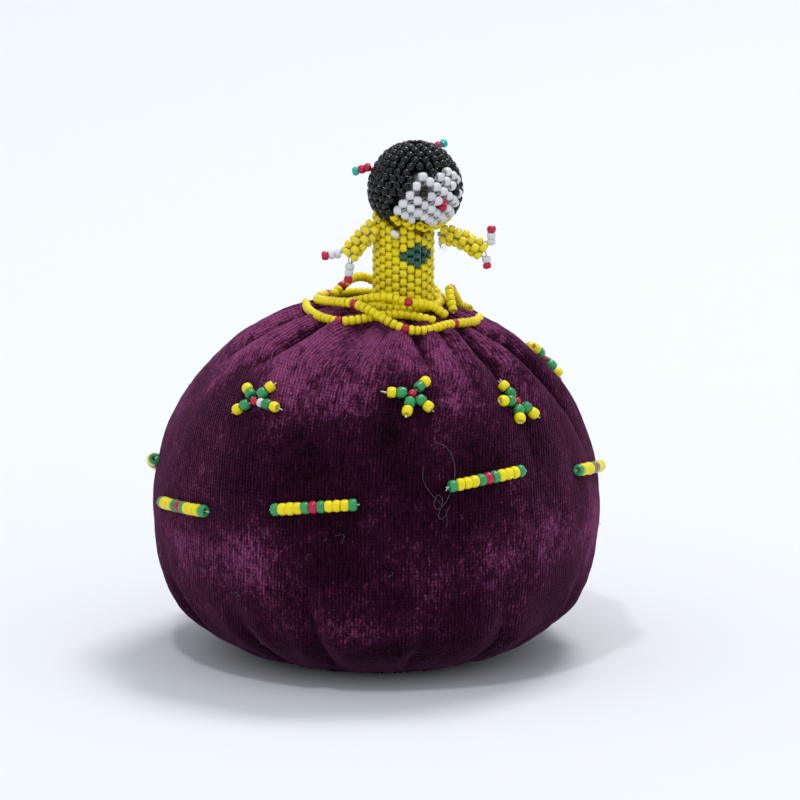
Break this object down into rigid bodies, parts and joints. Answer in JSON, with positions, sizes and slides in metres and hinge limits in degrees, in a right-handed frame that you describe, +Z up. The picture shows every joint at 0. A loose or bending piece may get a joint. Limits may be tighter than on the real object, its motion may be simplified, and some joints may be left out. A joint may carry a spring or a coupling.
{
  "type": "pin cushion",
  "caption": "Stuffed velvet pin cushion gathered round a bead-woven doll, with bead bars and bead flowers stitched on it.",
  "frame": {"origin": "centre of the flat underside, on the surface it stands on", "axes": "+Z up, -Y is the front that the doll faces, +X is to the viewer's right"},
  "size_m": [0.1092, 0.1081, 0.1233],
  "materials": {
    "velvet": "satin",
    "fibre_fill": "matte",
    "cotton_padding": "matte",
    "dark_padding": "matte",
    "white_thread": "matte",
    "yellow_glass": "gloss",
    "red_glass": "gloss",
    "green_glass": "gloss",
    "white_glass": "gloss",
    "black_glass": "gloss",
    "teal_glass": "gloss",
    "dark_green_glass": "gloss"
  },
  "bodies": {
    "cushion": {"bar_green_beads": "green_glass", "bar_red_beads": "red_glass", "bar_threads": "white_thread", "bar_yellow_beads": "yellow_glass", "base_gather_thread": "white_thread", "collar_beads": "yellow_glass", "crown_beads": "black_glass", "doll_core": "cotton_padding", "eye_beads": "black_glass", "face_beads": "white_glass", "flower_green_beads": "green_glass", "flower_red_beads": "red_glass", "flower_threads": "white_thread", "flower_white_bead": "white_glass", "flower_yellow_beads": "yellow_glass", "hair_beads": "black_glass", "head_core": "dark_padding", "mouth_beads": "red_glass", "shoulder_bead": "white_glass", "skirt_net_red_beads": "red_glass", "skirt_net_thread": "white_thread", "skirt_net_yellow_beads": "yellow_glass", "skirt_waist_beads": "yellow_glass", "skirt_waist_thread": "white_thread", "stuffing": "fibre_fill", "top_gather_thread": "white_thread", "torso_beads": "yellow_glass", "torso_motif_beads": "dark_green_glass", "velvet_cover": "velvet"},
    "left_arm": {"left_arm_beads": "yellow_glass", "left_arm_cord": "white_thread"},
    "right_arm": {"right_arm_beads": "yellow_glass", "right_arm_cord": "white_thread"},
    "skirt_front_hem": {"skirt_front_hem_yellow_beads": "yellow_glass", "skirt_front_hem_red_beads": "red_glass", "skirt_front_hem_thread": "white_thread"},
    "skirt_back_hem": {"skirt_back_hem_yellow_beads": "yellow_glass", "skirt_back_hem_red_beads": "red_glass", "skirt_back_hem_thread": "white_thread"},
    "left_thumb": {"left_thumb_red_beads": "red_glass", "left_thumb_thread": "white_thread", "left_thumb_white_beads": "white_glass"},
    "left_finger": {"left_finger_red_beads": "red_glass", "left_finger_thread": "white_thread", "left_finger_white_beads": "white_glass"},
    "right_thumb": {"right_thumb_red_beads": "red_glass", "right_thumb_thread": "white_thread", "right_thumb_white_beads": "white_glass"},
    "right_finger": {"right_finger_red_beads": "red_glass", "right_finger_thread": "white_thread", "right_finger_white_beads": "white_glass"},
    "left_pigtail": {"left_pigtail_red_beads": "red_glass", "left_pigtail_teal_beads": "teal_glass", "left_pigtail_thread": "white_thread"},
    "right_pigtail": {"right_pigtail_red_beads": "red_glass", "right_pigtail_teal_beads": "teal_glass", "right_pigtail_thread": "white_thread"}
  },
  "joints": [
    {"name": "left_arm_swing", "type": "hinge", "parent": "cushion", "child": "left_arm", "pos_m": [0.0002, -0.0035, 0.1034], "axis": [-0.2425, 0.9701, 0], "range_deg": [0, 40]},
    {"name": "right_arm_swing", "type": "hinge", "parent": "cushion", "child": "right_arm", "pos_m": [0.0134, -0.0013, 0.1012], "axis": [-0.1077, -0.9942, 0], "range_deg": [-15, 3]},
    {"name": "left_thumb_bend", "type": "hinge", "parent": "left_arm", "child": "left_thumb", "pos_m": [-0.008, -0.0058, 0.0974], "axis": [0, 1, 0], "range_deg": [-25, 25]},
    {"name": "left_finger_bend", "type": "hinge", "parent": "left_arm", "child": "left_finger", "pos_m": [-0.0061, -0.0062, 0.0953], "axis": [0, 1, 0], "range_deg": [-20, 25]},
    {"name": "right_thumb_bend", "type": "hinge", "parent": "right_arm", "child": "right_thumb", "pos_m": [0.0273, -0.0028, 0.0985], "axis": [0, 1, 0], "range_deg": [-20, 30]},
    {"name": "right_finger_bend", "type": "hinge", "parent": "right_arm", "child": "right_finger", "pos_m": [0.0261, -0.0034, 0.0965], "axis": [0, 1, 0], "range_deg": [-25, 20]},
    {"name": "left_pigtail_bend", "type": "hinge", "parent": "cushion", "child": "left_pigtail", "pos_m": [-0.0009, -0.0005, 0.1174], "axis": [0, 1, 0], "range_deg": [-15, 25]},
    {"name": "right_pigtail_bend", "type": "hinge", "parent": "cushion", "child": "right_pigtail", "pos_m": [0.0138, 0.0061, 0.1205], "axis": [0, -1, 0], "range_deg": [-15, 25]},
    {"name": "front_hem_lift", "type": "hinge", "parent": "cushion", "child": "skirt_front_hem", "pos_m": [0.004, 0.0045, 0.0815], "axis": [-1, 0, 0], "range_deg": [0, 17]},
    {"name": "back_hem_lift", "type": "hinge", "parent": "cushion", "child": "skirt_back_hem", "pos_m": [0.004, 0.0045, 0.0815], "axis": [1, 0, 0], "range_deg": [0, 20]}
  ]
}
